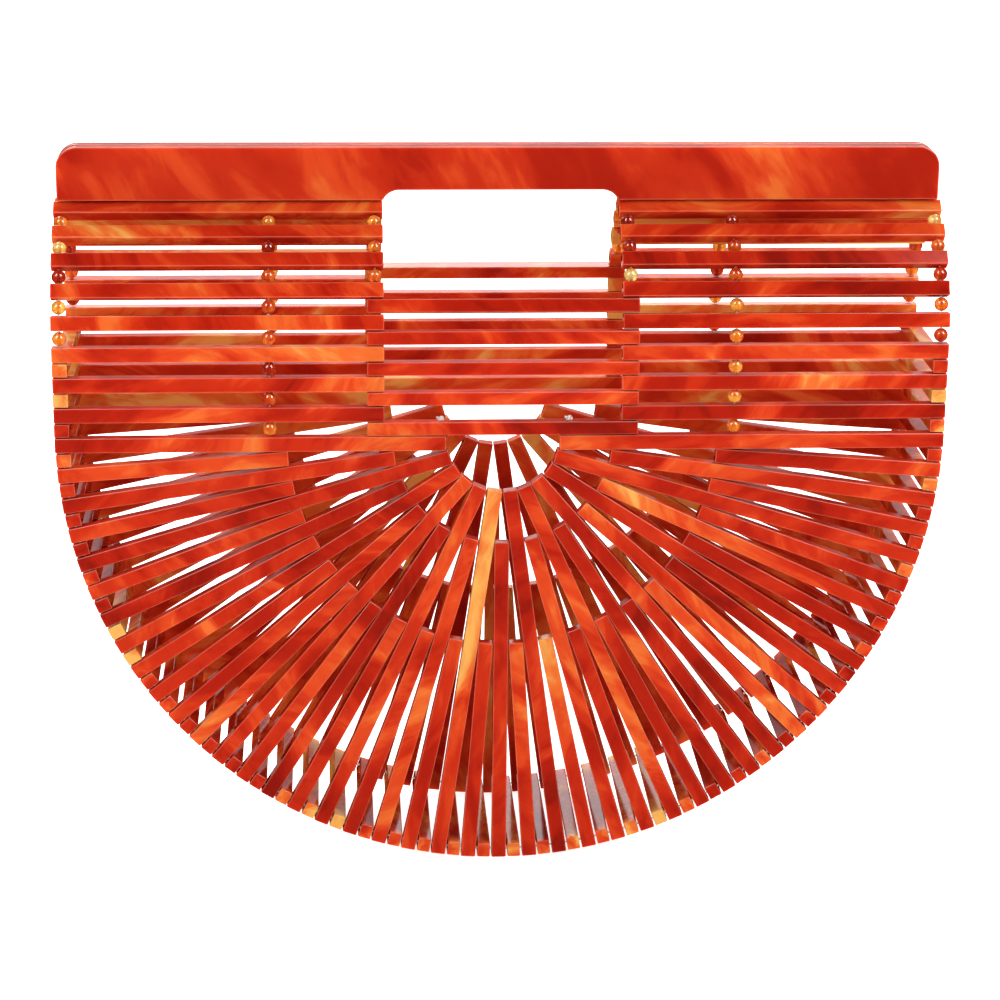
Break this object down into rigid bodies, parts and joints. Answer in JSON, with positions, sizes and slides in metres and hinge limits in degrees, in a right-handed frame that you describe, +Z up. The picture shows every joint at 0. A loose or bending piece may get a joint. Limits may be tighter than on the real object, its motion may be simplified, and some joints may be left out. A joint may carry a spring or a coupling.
{
  "type": "handbag",
  "caption": "Rigid half-moon handbag of glossy slats on threads, with round spacer beads, a fanned lower half, cross slats round the rim and flat handle plates with a hand cut-out.",
  "frame": {"origin": "on the floor under the middle of the bag, which stands on its lowest slats", "axes": "+Z up, the front faces -Y, the handle plates and the level slats run along X"},
  "size_m": [0.297, 0.0606, 0.2457],
  "materials": {
    "handle": "polished marbled amber and orange-red acrylic",
    "column_slat": "polished marbled amber and orange-red acrylic",
    "bead": "polished marbled amber and orange-red acrylic",
    "centre_slat": "polished marbled amber and orange-red acrylic",
    "fan": "polished marbled amber and orange-red acrylic",
    "cross_slat": "polished marbled amber and orange-red acrylic"
  },
  "bodies": {
    "root": {"beads_back_left_inner": "bead", "beads_back_left_middle": "bead", "beads_back_left_outer": "bead", "beads_back_right_inner": "bead", "beads_back_right_middle": "bead", "beads_back_right_outer": "bead", "beads_front_left_inner": "bead", "beads_front_left_middle": "bead", "beads_front_left_outer": "bead", "beads_front_right_inner": "bead", "beads_front_right_middle": "bead", "beads_front_right_outer": "bead", "centre_slat_back_1": "centre_slat", "centre_slat_back_2": "centre_slat", "centre_slat_back_3": "centre_slat", "centre_slat_back_4": "centre_slat", "centre_slat_back_5": "centre_slat", "centre_slat_front_1": "centre_slat", "centre_slat_front_2": "centre_slat", "centre_slat_front_3": "centre_slat", "centre_slat_front_4": "centre_slat", "centre_slat_front_5": "centre_slat", "cross_slats": "cross_slat", "fan_back": "fan", "fan_front": "fan", "handle_back": "handle", "handle_front": "handle", "slat_back_left_0": "column_slat", "slat_back_left_1": "column_slat", "slat_back_left_2": "column_slat", "slat_back_left_3": "column_slat", "slat_back_left_4": "column_slat", "slat_back_left_5": "column_slat", "slat_back_left_6": "column_slat", "slat_back_left_7": "column_slat", "slat_back_right_0": "column_slat", "slat_back_right_1": "column_slat", "slat_back_right_2": "column_slat", "slat_back_right_3": "column_slat", "slat_back_right_4": "column_slat", "slat_back_right_5": "column_slat", "slat_back_right_6": "column_slat", "slat_back_right_7": "column_slat", "slat_front_left_0": "column_slat", "slat_front_left_1": "column_slat", "slat_front_left_2": "column_slat", "slat_front_left_3": "column_slat", "slat_front_left_4": "column_slat", "slat_front_left_5": "column_slat", "slat_front_left_6": "column_slat", "slat_front_left_7": "column_slat", "slat_front_right_0": "column_slat", "slat_front_right_1": "column_slat", "slat_front_right_2": "column_slat", "slat_front_right_3": "column_slat", "slat_front_right_4": "column_slat", "slat_front_right_5": "column_slat", "slat_front_right_6": "column_slat", "slat_front_right_7": "column_slat"}
  },
  "joints": []
}
